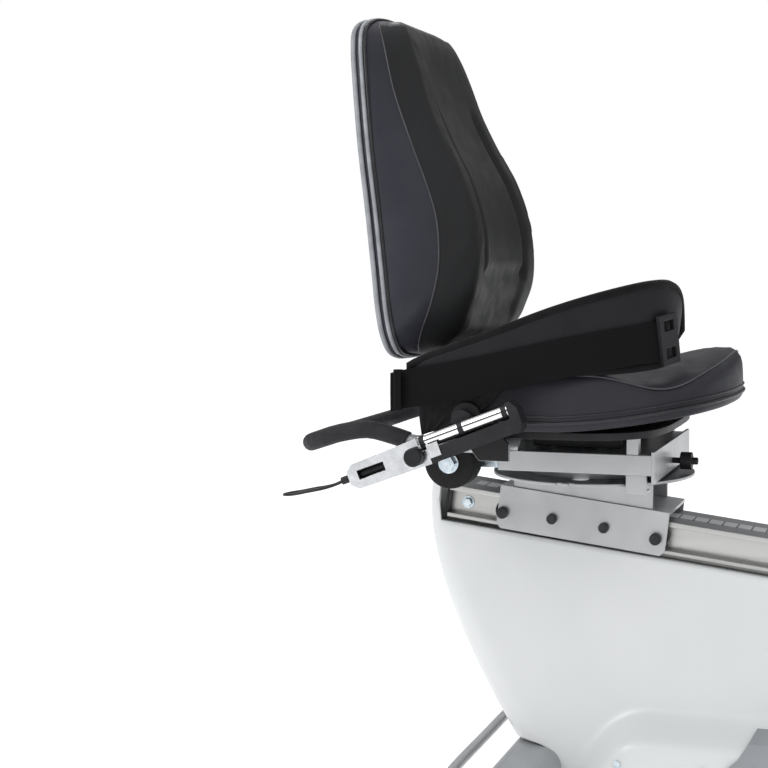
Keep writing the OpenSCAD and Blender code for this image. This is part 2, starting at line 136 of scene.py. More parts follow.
def make_studio():
    """White to the camera, softly lit, with darker bands that only reflections see."""
    bpy.context.scene.view_settings.view_transform = "Standard"
    world = bpy.data.worlds.new("studio")
    bpy.context.scene.world = world
    world.use_nodes = True
    tree = world.node_tree
    sky = tree.nodes["Background"]
    path = tree.nodes.new("ShaderNodeLightPath")
    coords = tree.nodes.new("ShaderNodeTexCoord").outputs["Generated"]
    split = tree.nodes.new("ShaderNodeSeparateXYZ")
    tree.links.new(coords, split.inputs["Vector"])
    ramp = tree.nodes.new("ShaderNodeValToRGB")
    ramp.color_ramp.elements[0].position = 0.0
    ramp.color_ramp.elements[0].color = (0.45, 0.45, 0.46, 1)
    ramp.color_ramp.elements[1].position = 1.0
    ramp.color_ramp.elements[1].color = (1.0, 1.0, 1.0, 1)
    bands = ((0.02, 0.05), (0.18, 0.06), (0.28, 0.4), (0.46, 0.9), (0.62, 0.35), (0.8, 0.7))
    for place, value in bands:
        stop = ramp.color_ramp.elements.new(place)
        stop.color = (value, value, value * 1.01, 1)
    tree.links.new(split.outputs["Z"], ramp.inputs["Fac"])
    shiny = mixed_colour(tree, path.outputs["Is Glossy Ray"], (0.70, 0.71, 0.73, 1), ramp.outputs["Color"])
    seen = mixed_colour(tree, path.outputs["Is Camera Ray"], shiny, (1, 1, 1, 1))
    tree.links.new(seen, sky.inputs["Color"])
    put(sky, {"Strength": 1.0})
    area_light("key", (-2.4, -2.6, 2.9), (-0.2, 0, 0.6), (1.8, 1.8), 58)
    area_light("front", (2.6, -1.8, 1.8), (0, 0, 0.4), (1.4, 1.4), 8)
    area_light("rim", (-2.2, 2.4, 2.6), (-0.3, 0, 0.7), (1.6, 1.2), 16)
    mesh = bpy.data.meshes.new("floor")
    corners = [(x * FLOOR_REACH, y * FLOOR_REACH, 0) for x, y in ((-1, -1), (1, -1), (1, 1), (-1, 1))]
    mesh.from_pydata(corners, [], [(0, 1, 2, 3)])
    floor = linked("floor", mesh)
    paint = plain_material("floor_white", (0.93, 0.93, 0.93), 0.75)
    glow = paint.node_tree.nodes["Principled BSDF"]
    put(glow, {"Emission Color": (1, 1, 1, 1), "Emission Strength": 0.38})
    mesh.materials.append(paint)


# ---------------------------------------------------------------- materials
# The part of a noise pattern's range that its values mostly lie in.
PATTERN_LOW = 0.3
PATTERN_HIGH = 0.7


def new_material(name):
    mat = bpy.data.materials.new(name)
    mat.use_nodes = True
    tree = mat.node_tree
    return mat, tree, tree.nodes["Principled BSDF"]


def plain_material(name, color, rough):
    mat, _, bsdf = new_material(name)
    put(bsdf, {"Base Color": (*color, 1), "Roughness": rough})
    return mat


def noise(tree, coords, scale, detail=3.0, stretch=(1, 1, 1)):
    """A noise pattern, drawn out along the axes whose stretch is small."""
    mapping = tree.nodes.new("ShaderNodeMapping")
    put(mapping, {"Scale": stretch})
    tree.links.new(coords, mapping.inputs["Vector"])
    node = tree.nodes.new("ShaderNodeTexNoise")
    put(node, {"Scale": scale, "Detail": detail})
    tree.links.new(mapping.outputs["Vector"], node.inputs["Vector"])
    return node.outputs["Fac"]


def span(tree, value, low, high):
    """The middle of a pattern's range, mapped to low and high."""
    node = tree.nodes.new("ShaderNodeMapRange")
    put(node, {"From Min": PATTERN_LOW, "From Max": PATTERN_HIGH, "To Min": low, "To Max": high})
    tree.links.new(value, node.inputs["Value"])
    return node.outputs["Result"]


def tint(tree, value, dark, light, low=PATTERN_LOW, high=PATTERN_HIGH):
    """Two shades blended by a pattern between low and high."""
    ramp = tree.nodes.new("ShaderNodeValToRGB")
    for stop, place, color in zip(ramp.color_ramp.elements, (low, high), (dark, light)):
        stop.position = place
        stop.color = (*color, 1)
    tree.links.new(value, ramp.inputs["Fac"])
    return ramp.outputs["Color"]


def bump(tree, bsdf, layers):
    """Adds bump layers, each (height, strength, distance), one over the other."""
    last = None
    for height, strength, distance in layers:
        node = tree.nodes.new("ShaderNodeBump")
        put(node, {"Strength": strength, "Distance": distance})
        tree.links.new(height, node.inputs["Height"])
        if last:
            tree.links.new(last, node.inputs["Normal"])
        last = node.outputs["Normal"]
    tree.links.new(last, bsdf.inputs["Normal"])


def cells(tree, coords, scale, feature="F1"):
    node = tree.nodes.new("ShaderNodeTexVoronoi")
    node.feature = feature
    put(node, {"Scale": scale})
    tree.links.new(coords, node.inputs["Vector"])
    return node.outputs["Distance"]


def object_coords(tree):
    return tree.nodes.new("ShaderNodeTexCoord").outputs["Object"]


def surface(name, dark, light, rough, patch=18, grain=900, depth=0.0002, metal=0.0, coat=0.0,
            sheen=0.0, stretch=(1, 1, 1), specular=0.5, strength=0.35):
    """A general finish: two shades in soft patches, uneven gloss and a fine grain in the surface."""
    mat, tree, bsdf = new_material(name)
    coords = object_coords(tree)
    patches = noise(tree, coords, patch, 4, stretch)
    tree.links.new(tint(tree, patches, dark, light), bsdf.inputs["Base Color"])
    wear = noise(tree, coords, patch * 3.1, 5, stretch)
    tree.links.new(span(tree, wear, rough[0], rough[1]), bsdf.inputs["Roughness"])
    put(bsdf, {"Metallic": metal, "Coat Weight": coat, "Coat Roughness": 0.15, "Sheen Weight": sheen,
               "Sheen Roughness": 0.5, "Specular IOR Level": specular})
    bump(tree, bsdf, [(noise(tree, coords, grain, 2, stretch), strength, depth)])
    return mat


def vinyl(name, dark, light, rough, grain=700, crease=0.12):
    """Upholstery vinyl: two soft shades, uneven gloss, pebbled grain and soft creases."""
    mat, tree, bsdf = new_material(name)
    coords = object_coords(tree)
    tree.links.new(tint(tree, noise(tree, coords, 9, 4), dark, light), bsdf.inputs["Base Color"])
    tree.links.new(span(tree, noise(tree, coords, 40, 4), rough[0], rough[1]), bsdf.inputs["Roughness"])
    put(bsdf, {"Specular IOR Level": 0.24})
    pebble = cells(tree, coords, grain, "SMOOTH_F1")
    creases = noise(tree, coords, 34, 6, (1, 1, 2.4))
    bump(tree, bsdf, [(creases, crease, 0.004), (pebble, 0.25, 0.0004)])
    return mat


def woven(name, dark, light, ribs, rough=0.8, sheen=0.25):
    """Woven webbing or cloth, drawn along the piece's own length and width in metres (its UV map)."""
    mat, tree, bsdf = new_material(name)
    uv = tree.nodes.new("ShaderNodeUVMap").outputs["UV"]
    bands = []
    for direction in ("X", "Y"):
        wave = tree.nodes.new("ShaderNodeTexWave")
        wave.bands_direction = direction
        put(wave, {"Scale": ribs if direction == "X" else ribs * 0.55, "Distortion": 0.4, "Detail": 1.0})
        tree.links.new(uv, wave.inputs["Vector"])
        bands.append(wave.outputs["Fac"])
    mix = tree.nodes.new("ShaderNodeMath")
    mix.operation = "MULTIPLY"
    tree.links.new(bands[0], mix.inputs[0])
    tree.links.new(bands[1], mix.inputs[1])
    tree.links.new(tint(tree, mix.outputs[0], dark, light), bsdf.inputs["Base Color"])
    put(bsdf, {"Roughness": rough, "Sheen Weight": sheen, "Sheen Roughness": 0.4,
               "Specular IOR Level": 0.07})
    bump(tree, bsdf, [(mix.outputs[0], 0.5, 0.0004)])
    return mat


def make_materials():
    """One finish for each material slot of the record, and a few more for single pieces."""
    made = {}

    def add(name, *values, **more):
        made[name] = surface(name, *values, **more)

    add("rail", (0.47, 0.47, 0.455), (0.56, 0.56, 0.54), (0.26, 0.36), 30, 420, 0.0001, metal=0.9,
        stretch=(0.04, 1, 1))
    made["scale_strip"] = scale_material()
    add("zinc", (0.50, 0.58, 0.64), (0.68, 0.74, 0.78), (0.2, 0.36), 120, 900, 0.0001, metal=1.0)
    add("silver_paint", (0.42, 0.425, 0.43), (0.49, 0.495, 0.50), (0.30, 0.40), 14, 1600, 0.00012,
        metal=0.55, coat=0.12)
    add("grey_paint", (0.30, 0.31, 0.32), (0.35, 0.36, 0.37), (0.36, 0.46), 12, 1400, 0.00012, coat=0.1)
    add("grey_plastic", (0.30, 0.31, 0.32), (0.34, 0.35, 0.36), (0.42, 0.52), 12, 700, 0.0002)
    add("white_shell", (0.66, 0.675, 0.67), (0.70, 0.71, 0.705), (0.3, 0.4), 5, 260, 0.00025, coat=0.12,
        strength=0.12)
    add("step_pad", (0.26, 0.27, 0.28), (0.31, 0.32, 0.335), (0.5, 0.6), 16, 800, 0.0003, specular=0.3)
    add("black_plastic", (0.012, 0.012, 0.013), (0.022, 0.022, 0.024), (0.38, 0.5), 30, 900, 0.0002,
        specular=0.25)
    add("black_screw", (0.012, 0.012, 0.014), (0.03, 0.03, 0.032), (0.3, 0.42), 90, 900, 0.0001, metal=0.4)
    add("rubber", (0.012, 0.012, 0.012), (0.022, 0.022, 0.023), (0.6, 0.75), 25, 600, 0.0003, specular=0.15)
    add("grip_foam", (0.022, 0.022, 0.024), (0.034, 0.034, 0.037), (0.55, 0.68), 40, 1300, 0.0004,
        strength=0.5, specular=0.14)
    # The rail's own brushed metal, darkened for its upward faces: a painted dark reflection.
    add("rail_top", (0.20, 0.205, 0.21), (0.25, 0.255, 0.26), (0.36, 0.46), 30, 420, 0.0001, metal=0.6,
        stretch=(0.04, 1, 1))
    # Darker shade for the swivel plate's upward faces: a painted dark reflection.
    add("plate_top_painted_reflection", (0.12, 0.122, 0.125), (0.17, 0.172, 0.175), (0.3, 0.42), 20, 900, 0.0001, metal=0.5)
    add("back_panel", (0.010, 0.010, 0.011), (0.015, 0.015, 0.0165), (0.66, 0.78), 25, 500, 0.0005,
        specular=0.12, strength=0.6)
    add("satin_metal", (0.52, 0.53, 0.54), (0.66, 0.67, 0.68), (0.14, 0.26), 60, 900, 0.00005, metal=1.0)
    add("chrome", (0.80, 0.80, 0.81), (0.86, 0.86, 0.87), (0.04, 0.10), 60, 500, 0.00002, metal=1.0)
    made["side_vinyl"] = vinyl("side_vinyl", (0.024, 0.024, 0.033), (0.036, 0.036, 0.047), (0.36, 0.46))
    made["centre_fabric"] = vinyl("centre_fabric", (0.0125, 0.0128, 0.0135), (0.0175, 0.018, 0.019),
                                  (0.46, 0.58), 1100, 0.03)
    add("belt_fabric", (0.005, 0.005, 0.0055), (0.010, 0.010, 0.011), (0.6, 0.75), 20, 1500, 0.0005,
        sheen=0.08, strength=0.6, specular=0.08)
    made["webbing"] = woven("webbing", (0.006, 0.006, 0.0065), (0.011, 0.011, 0.012), 210, sheen=0.05)
    add("piping", (0.24, 0.25, 0.27), (0.34, 0.35, 0.37), (0.35, 0.45), 60, 900, 0.0003)
    add("dark_piping", (0.008, 0.008, 0.01), (0.016, 0.016, 0.02), (0.35, 0.45), 60, 900, 0.0003)
    add("piping_thin", (0.045, 0.045, 0.05), (0.07, 0.07, 0.075), (0.4, 0.5), 60, 900, 0.0002)
    made["band"] = woven("band", (0.06, 0.062, 0.07), (0.20, 0.205, 0.22), 160, 0.5, 0.1)
    made["seat_vinyl"] = vinyl("seat_vinyl", (0.019, 0.019, 0.024), (0.027, 0.027, 0.034), (0.44, 0.54))
    add("belt_vinyl", (0.009, 0.009, 0.010), (0.015, 0.015, 0.0165), (0.45, 0.55), 14, 1200, 0.0003,
        sheen=0.04, specular=0.14)
    return made


def scale_material():
    """A pale strip with plain graduation lines every 10 mm along the rail."""
    mat, tree, bsdf = new_material("scale_strip")
    coords = object_coords(tree)
    wave = tree.nodes.new("ShaderNodeTexWave")
    wave.wave_profile = "SAW"
    put(wave, {"Scale": 15.9})
    tree.links.new(coords, wave.inputs["Vector"])
    lines = tint(tree, wave.outputs["Fac"], (0.10, 0.10, 0.10), (0.52, 0.53, 0.53), 0.10, 0.14)
    tree.links.new(lines, bsdf.inputs["Base Color"])
    tree.links.new(span(tree, noise(tree, coords, 60), 0.4, 0.5), bsdf.inputs["Roughness"])
    return mat


# ---------------------------------------------------------------- mesh helpers
def make_object(name, mesh, body, nodes=()):
    """A piece on a body, which may stand for CAD nodes."""
    piece = linked(name, mesh)
    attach(piece, body)
    if nodes:
        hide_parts(*nodes)
    return piece


def finish_mesh(mesh, mats, smooth=True):
    """The mesh with its materials and shading."""
    for m in mats:
        mesh.materials.append(m)
    for face in mesh.polygons:
        face.use_smooth = smooth
    mesh.update()
    return mesh


def mesh_from(bm, name):
    """A new mesh from a bmesh, which is freed."""
    mesh = bpy.data.meshes.new(name)
    bm.to_mesh(mesh)
    bm.free()
    return mesh


def grid_mesh(name, rings, closed_ring=True, cap=True):
    """A skin over rings of points, with a UV map in metres along and across the rings."""
    bm = bmesh.new()
    uv = bm.loops.layers.uv.new("UVMap")
    rows = [[bm.verts.new(p) for p in ring] for ring in rings]
    count = len(rings[0])
    across = [0.0]
    for k in range(count):
        across.append(across[-1] + (Vector(rings[0][(k + 1) % count]) - Vector(rings[0][k])).length)
    along = [0.0]
    for i in range(1, len(rings)):
        step = sum((Vector(a) - Vector(b)).length for a, b in zip(rings[i], rings[i - 1])) / count
        along.append(along[-1] + step)
    last = count if closed_ring else count - 1
    for i in range(len(rings) - 1):
        for k in range(last):
            n = (k + 1) % count
            face = bm.faces.new((rows[i][k], rows[i][n], rows[i + 1][n], rows[i + 1][k]))
            marks = ((along[i], across[k]), (along[i], across[k + 1]), (along[i + 1], across[k + 1]),
                     (along[i + 1], across[k]))
            for loop, mark in zip(face.loops, marks):
                loop[uv].uv = mark
    if cap:
        bm.faces.new(list(reversed(rows[0])))
        bm.faces.new(rows[-1])
    bmesh.ops.recalc_face_normals(bm, faces=bm.faces)
    return mesh_from(bm, name)


def smooth_line(points, steps):
    """Catmull-Rom points through a list of points."""
    pts = [Vector(p) for p in points]
    out = []
    for i in range(len(pts) - 1):
        a, b, c, d = pts[max(i - 1, 0)], pts[i], pts[i + 1], pts[min(i + 2, len(pts) - 1)]
        for j in range(steps):
            t = j / steps
            out.append(0.5 * (2 * b + (c - a) * t + (2 * a - 5 * b + 4 * c - d) * t * t
                              + (3 * b - a - 3 * c + d) * t ** 3))
    return out + [pts[-1]]


def smoothstep(a, b, x):
    """0 at a, 1 at b, and smooth between them. a may be the larger."""
    t = min(1.0, max(0.0, (x - a) / (b - a)))
    return t * t * (3 - 2 * t)


def curve_value(table, x):
    """Catmull-Rom value from a short table of (x, value) pairs, with no flat steps."""
    n = len(table)
    if x <= table[0][0]:
        return table[0][1]
    if x >= table[-1][0]:
        return table[-1][1]
    i = next(k for k in range(n - 1) if x <= table[k + 1][0])
    x0, y0 = table[i]
    x1, y1 = table[i + 1]
    h = x1 - x0
    m0 = (y1 - table[max(i - 1, 0)][1]) / (x1 - table[max(i - 1, 0)][0]) * h
    m1 = (table[min(i + 2, n - 1)][1] - y0) / (table[min(i + 2, n - 1)][0] - x0) * h
    t = (x - x0) / h
    return ((2 * t ** 3 - 3 * t * t + 1) * y0 + (t ** 3 - 2 * t * t + t) * m0
            + (-2 * t ** 3 + 3 * t * t) * y1 + (t ** 3 - t * t) * m1)


def sweep(name, points, radius, sides, closed=False):
    """A round tube along points."""
    pts = [Vector(p) for p in points]
    n = len(pts)
    rings = []
    side = None
    for i, p in enumerate(pts):
        ahead = pts[(i + 1) % n] if closed else pts[min(i + 1, n - 1)]
        behind = pts[i - 1] if closed else pts[max(i - 1, 0)]
        t = (ahead - behind).normalized()
        if side is None:
            side = t.cross(UP)
        side = (side - t * side.dot(t)).normalized()
        rise = side.cross(t)
        rings.append([p + radius * (math.cos(a) * side + math.sin(a) * rise)
                      for a in (2 * math.pi * k / sides for k in range(sides))])
    if closed:
        rings.append(rings[0])
    mesh = grid_mesh(name, rings, cap=not closed)
    if closed:
        weld(mesh)
    return mesh


def weld(mesh):
    """Joins points that lie together, such as a closed sweep's two ends."""
    bm = bmesh.new()
    bm.from_mesh(mesh)
    bmesh.ops.remove_doubles(bm, verts=bm.verts, dist=SAME_POINT)
    bmesh.ops.recalc_face_normals(bm, faces=bm.faces)
    bm.to_mesh(mesh)
    bm.free()


def applied(mesh, add_modifiers, name):
    """The mesh with modifiers applied."""
    holder = linked(name + "_work", mesh)
    add_modifiers(holder)
    graph = bpy.context.evaluated_depsgraph_get()
    graph.update()
    result = bpy.data.meshes.new_from_object(holder.evaluated_get(graph))
    result.name = name
    bpy.data.objects.remove(holder)
    return result


def eased(node, width):
    """A copy of a CAD node's mesh with its sharp edges rounded."""
    bm = bmesh.new()
    bm.from_mesh(frame["nodes"][node].data)
    bmesh.ops.remove_doubles(bm, verts=bm.verts, dist=SAME_POINT)
    bmesh.ops.dissolve_limit(bm, angle_limit=math.radians(0.5), verts=bm.verts, edges=bm.edges)
    mesh = mesh_from(bm, node + "_eased")
    mesh.materials.clear()

    def modifiers(obj):
        bevel = obj.modifiers.new("edge", "BEVEL")
        bevel.width = width
        bevel.segments = 2
        bevel.limit_method = "ANGLE"
        bevel.angle_limit = math.radians(30)
        bevel.harden_normals = False
        bevel.use_clamp_overlap = True
        shade = obj.modifiers.new("shade", "WEIGHTED_NORMAL")
        shade.keep_sharp = False
        shade.weight = 80

    for face in mesh.polygons:
        face.use_smooth = True
    return applied(mesh, modifiers, node + "_eased")


def shelled(mesh, name, thickness):
    """The skin with a wall of this thickness on its inner side."""
    def modifiers(obj):
        solid = obj.modifiers.new("shell", "SOLIDIFY")
        solid.thickness = thickness
        solid.offset = -1
        solid.use_even_offset = False
    return applied(mesh, modifiers, name)


def body_of(node):
    """The body that a CAD node rides on."""
    return frame["nodes"][node]["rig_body"]


# ---------------------------------------------------------------- stuffing
CLOTH_STEPS = 20
CLOTH_PRESSURE = 4


def swell(mesh, cap, voxel, pinned):
    """Blows a padded skin up as cloth between its pinned seams and moves the skin with it.

    The cloth is a remeshed copy. Each point of the skin takes the mean movement of the nearest
    cloth points, up to the cap.
    """
    scene = bpy.context.scene

    def remesh(obj):
        mod = obj.modifiers.new("voxel", "REMESH")
        mod.mode = "VOXEL"
        mod.voxel_size = voxel

    rough = applied(mesh.copy(), remesh, mesh.name + "_cloth")
    obj = linked(mesh.name + "_cloth", rough)
    start = [v.co.copy() for v in rough.vertices]
    group = obj.vertex_groups.new(name="seams")
    group.add([i for i, co in enumerate(start) if pinned(co)], 1.0, "REPLACE")
    mod = obj.modifiers.new("cloth", "CLOTH")
    mod.settings.vertex_group_mass = "seams"
    mod.settings.use_pressure = True
    mod.settings.uniform_pressure_force = CLOTH_PRESSURE
    mod.settings.effector_weights.gravity = 0
    mod.settings.tension_stiffness = 12
    mod.settings.compression_stiffness = 12
    mod.settings.shear_stiffness = 4
    mod.settings.bending_stiffness = 0.4
    mod.collision_settings.use_collision = False
    mod.point_cache.frame_start = 1
    mod.point_cache.frame_end = CLOTH_STEPS
    for step in range(1, CLOTH_STEPS + 1):
        scene.frame_set(step)
    graph = bpy.context.evaluated_depsgraph_get()
    after = [v.co.copy() for v in obj.evaluated_get(graph).data.vertices]
    tree = KDTree(len(start))
    for i, co in enumerate(start):
        tree.insert(co, i)
    tree.balance()
    for vert in mesh.vertices:
        total, push = 0.0, Vector()
        for co, i, gap in tree.find_n(vert.co, 6):
            share = 1 / (gap + voxel * 0.3)
            total += share
            push += (after[i] - start[i]) * share
        push /= total
        most = cap(vert.co)
        if push.length > most:
            push *= most / push.length
        vert.co += push
    bpy.data.objects.remove(obj)
    scene.frame_set(1)


# ---------------------------------------------------------------- backrest
# Heights run from the cushion's lower edge, depths from its rear face. The tables give half the
# width, the depth of the front's highest line and the depth of the seam, each by height.
BACK_HALF = [(0, 0.12), (0.0062, 0.172), (0.027, 0.199), (0.0624, 0.206), (0.1144, 0.2), (0.1976, 0.19),
             (0.2808, 0.183), (0.3745, 0.166), (0.4265, 0.151), (0.4494, 0.13), (0.4629, 0.085),
             (0.466, 0.04)]
BACK_CREST = [(0, 0.045), (0.0229, 0.083), (0.051, 0.103), (0.0811, 0.118), (0.1248, 0.1265),
              (0.1664, 0.1275), (0.2236, 0.1175), (0.2777, 0.099), (0.3318, 0.083), (0.3807, 0.074),
              (0.4202, 0.065), (0.4462, 0.055), (0.4598, 0.042), (0.466, 0.026)]
BACK_SEAM = [(0, 0.022), (0.0302, 0.041), (0.0645, 0.061), (0.1019, 0.075), (0.1352, 0.081),
             (0.1779, 0.082), (0.2216, 0.0745), (0.2694, 0.063), (0.3526, 0.043), (0.4306, 0.031),
             (0.466, 0.016)]

# The centre panel's upper edge, then shares of the half width: the seam, the highest line and the reach
# of the hollow between the two highest lines. Then that hollow's depth and the cover's divisions.
PANEL_TOP = 0.449
SEAM_AT = 0.885
CREST_AT = 0.70
DISH_WIDE = 0.60
DISH = 0.012
FRONT_STEPS = 46
BACK_LEVELS = 108
# The pressed channels: distance from the middle at their lower end, how it narrows above the foot,
# depth and width. Then the depth of the hollow below them, and the radius of a sewn seam.
CHANNEL_Y = 0.103
CHANNEL_SLOPE = 0.085
CHANNEL_FOOT = 0.09
CHANNEL_DEPTH = 0.0095
CHANNEL_WIDE = 0.0075
HOLLOW_DEPTH = 0.0055
SEAM_R = 0.0011


def back_point(y, z, depth):
    """A point of the backrest in the row frame, from its own width, height and depth."""
    x = BACK_PLANE + depth
    up = BACK_LOW + z
    return HINGE + Vector((x * math.cos(LEAN) - up * math.sin(LEAN), y,
                           x * math.sin(LEAN) + up * math.cos(LEAN)))


def back_section(z):
    """Half of a level section of the cushion: its side up to the seam, then its front to the middle."""
    half = curve_value(BACK_HALF, z)
    seam_y = half * SEAM_AT
    seam_d = curve_value(BACK_SEAM, z)
    crest_d = curve_value(BACK_CREST, z)
    mid_d = crest_d - DISH * smoothstep(0.0, 0.05, z) * smoothstep(BACK_HIGH, BACK_HIGH - 0.10, z)
    side = [(half, 0.0), (half + 0.0015, seam_d * 0.22), (half * 0.985, seam_d * 0.5),
            (half * 0.935, seam_d * 0.8), (seam_y, seam_d)]
    front = []
    for i in range(1, FRONT_STEPS + 1):
        s = SEAM_AT * (1 - i / FRONT_STEPS)
        if s > CREST_AT:
            t = (SEAM_AT - s) / (SEAM_AT - CREST_AT)
            front.append((half * s, seam_d + (crest_d - seam_d) * math.sin(t * math.pi / 2)))
        else:
            t = min(1.0, (CREST_AT - s) / DISH_WIDE)
            front.append((half * s, mid_d + (crest_d - mid_d) * (0.5 + 0.5 * math.cos(math.pi * t))))
    return side, front


def groove_depth(y, z):
    """Two long pressed channels in the centre panel, and the hollow below the lumbar step."""
    line = CHANNEL_Y - CHANNEL_SLOPE * max(0.0, z - CHANNEL_FOOT)
    along = smoothstep(0.078, 0.100, z) * smoothstep(0.350, 0.300, z)
    cut = CHANNEL_DEPTH * math.exp(-((abs(y) - line) / CHANNEL_WIDE) ** 2) * along
    inside = smoothstep(line + 0.010, line - 0.010, abs(y))
    return cut + HOLLOW_DEPTH * inside * smoothstep(0.108, 0.094, z) * smoothstep(0.01, 0.05, z)


def back_ring(z):
    """The whole level section at a height: left side, front, right side and flat rear."""
    side, front = back_section(z)
    edge = smooth_line([(y, d, 0) for y, d in side], 4)
    half = [(p.x, p.y) for p in edge] + front
    left = [(y, d - groove_depth(y, z)) for y, d in half]
    right = [(-y, d) for y, d in reversed(left[:-1])]
    rear = [(-left[0][0] * (1 - k / 5), -0.0002) for k in range(1, 10)]
    return [back_point(y, z, d) for y, d in left + right + rear]


def make_back_cushion(mats):
    """The padded cover, with its rings closer together at the top and bottom."""
    heights = []
    for i in range(BACK_LEVELS + 1):
        t = i / BACK_LEVELS
        heights.append(BACK_HIGH * ((0.5 - 0.5 * math.cos(math.pi * t)) * 0.55 + t * 0.45))
    mesh = grid_mesh("back_cushion_skin", [back_ring(z) for z in heights])

    def pinned(co):
        y, z, depth = back_local(co)
        z = min(max(z, 0.0), BACK_HIGH)
        near_seam = abs(abs(y) - curve_value(BACK_HALF, z) * SEAM_AT) < 0.005 and z < PANEL_TOP + 0.004
        return depth < 0.009 or (near_seam and depth > 0.01)

    swell(mesh, lambda co: 0.0012 if in_centre_panel(co) else 0.0035, 0.006, pinned)
    finish_mesh(mesh, [mats["side_vinyl"], mats["centre_fabric"]])
    for face in mesh.polygons:
        face.material_index = 1 if in_centre_panel(face.center) else 0
    piece = make_object("back_cushion_cover", mesh, "backrest", ["back_cushion"])
    return piece


def back_local(p):
    """Width, height and depth on the backrest of a point in the row frame."""
    d = Vector(p) - HINGE
    return (d.y, -d.x * math.sin(LEAN) + d.z * math.cos(LEAN) - BACK_LOW,
            d.x * math.cos(LEAN) + d.z * math.sin(LEAN) - BACK_PLANE)


def in_centre_panel(p):
    """True for a point of the cover's front between its two long seams."""
    y, z, depth = back_local(p)
    if z > PANEL_TOP or depth < 0.012:
        return False
    return abs(y) < curve_value(BACK_HALF, z) * SEAM_AT


def seam_path():
    """The seam between the side and centre panels on the -Y side, from the bottom up."""
    low, high, steps = 0.006, PANEL_TOP, 60
    right = []
    for i in range(steps + 1):
        z = low + (high - low) * i / steps
        half = curve_value(BACK_HALF, z)
        right.append((-half * SEAM_AT, z, curve_value(BACK_SEAM, z)))
    return right


def outline_path(inset, depth):
    """The backrest's outline at a depth, as a smooth closed path."""
    levels = [0.0015, 0.004, 0.008, 0.014, 0.022, 0.034, 0.05, 0.075, 0.11, 0.15, 0.19, 0.23, 0.27, 0.31,
              0.35, 0.385, 0.41, 0.428, 0.441, 0.451, 0.458, 0.463]
    half = [(0.0, -0.0005), (0.05, -0.0003)]
    half += [(curve_value(BACK_HALF, z) - inset, z) for z in levels]
    half += [(0.045, BACK_HIGH + 0.0007), (0.0, BACK_HIGH + 0.001)]
    loop = half + [(-y, z) for y, z in reversed(half[1:-1])]
    loop = [back_point(y, z, depth) for y, z in loop]
    return smooth_line(loop + loop[:1], 3)[:-1]


def make_back_trim(mats):
    """Three pipings round the rear edge, and the seam between the panels."""
    for name, inset, depth, radius, mat in (
            ("back_piping_rear", -0.0005, -0.0035, 0.0034, "piping"),
            ("back_piping_front", -0.0012, 0.0075, 0.0030, "piping"),
            ("back_piping_dark", -0.0014, 0.0135, 0.0022, "dark_piping")):
        mesh = sweep(name, outline_path(inset, depth), radius, 10, closed=True)
        finish_mesh(mesh, [mats[mat]])
        make_object(name, mesh, "backrest")
    inner = seam_path()
    loop = inner + [(-y, z, d) for y, z, d in reversed(inner)]
    path = [back_point(y, z, d + 0.0003) for y, z, d in loop]
    mesh = finish_mesh(sweep("back_seam", path, SEAM_R, 8), [mats["piping_thin"]])
    make_object("back_seam", mesh, "backrest")


def make_back_band(mats):
    """The band between the two light pipings, with fine cross ribs."""
    rings = [outline_path(0.0012, depth) for depth in (-0.0035, 0.0, 0.0035, 0.0075)]
    mesh = finish_mesh(grid_mesh("back_band", rings, cap=False), [mats["band"]])
    make_object("back_band", mesh, "backrest")


# ---------------------------------------------------------------- seat cushion
SEAT_HALF = 0.225
SEAT_REAR = 0.200
SEAT_FRONT = 0.2035
SEAT_LOW = 0.5285
SEAT_TOP = 0.6015
SEAT_SIDES = 120
SEAM_PULL = 0.026


def seat_plan(angle, scale=1.0, pull=0.0):
    """Outline of the cushion seen from above: square at the back, oval in front."""
    c, s = math.cos(angle), math.sin(angle)
    power = 2 / (2.3 if c > 0 else 4.2)
    reach = SEAT_FRONT if c > 0 else SEAT_REAR
    x = (reach - pull) * math.copysign(abs(c) ** power, c)
    y = (SEAT_HALF - pull) * math.copysign(abs(s) ** power, s)
    return x * scale, y * scale


def seat_top(x, y):
    """Height of the cushion's upper face: side bolsters, two thigh hollows and a raised front middle."""
    bolster = 0.007 * math.exp(-((abs(y) - 0.19) / 0.05) ** 2)
    bolster *= math.exp(-(max(0.0, x - 0.04) / 0.05) ** 2)
    hollow = 0.017 * math.exp(-((x - 0.118) / 0.055) ** 2 - ((abs(y) - 0.16) / 0.06) ** 2)
    dish = 0.012 * math.exp(-((x + 0.06) / 0.10) ** 2 - (y / 0.11) ** 2)
    pommel = 0.022 * math.exp(-((x - 0.17) / 0.075) ** 2 - (y / 0.085) ** 2)
    front = 0.006 * math.exp(-((x - 0.19) / 0.03) ** 2)
    return SEAT_TOP + bolster - hollow - dish + pommel + front


def seat_low(x):
    """Underside of the cushion, which lifts a little towards the front."""
    return SEAT_LOW + 0.026 * max(0.0, (x + 0.01) / 0.21) ** 1.35


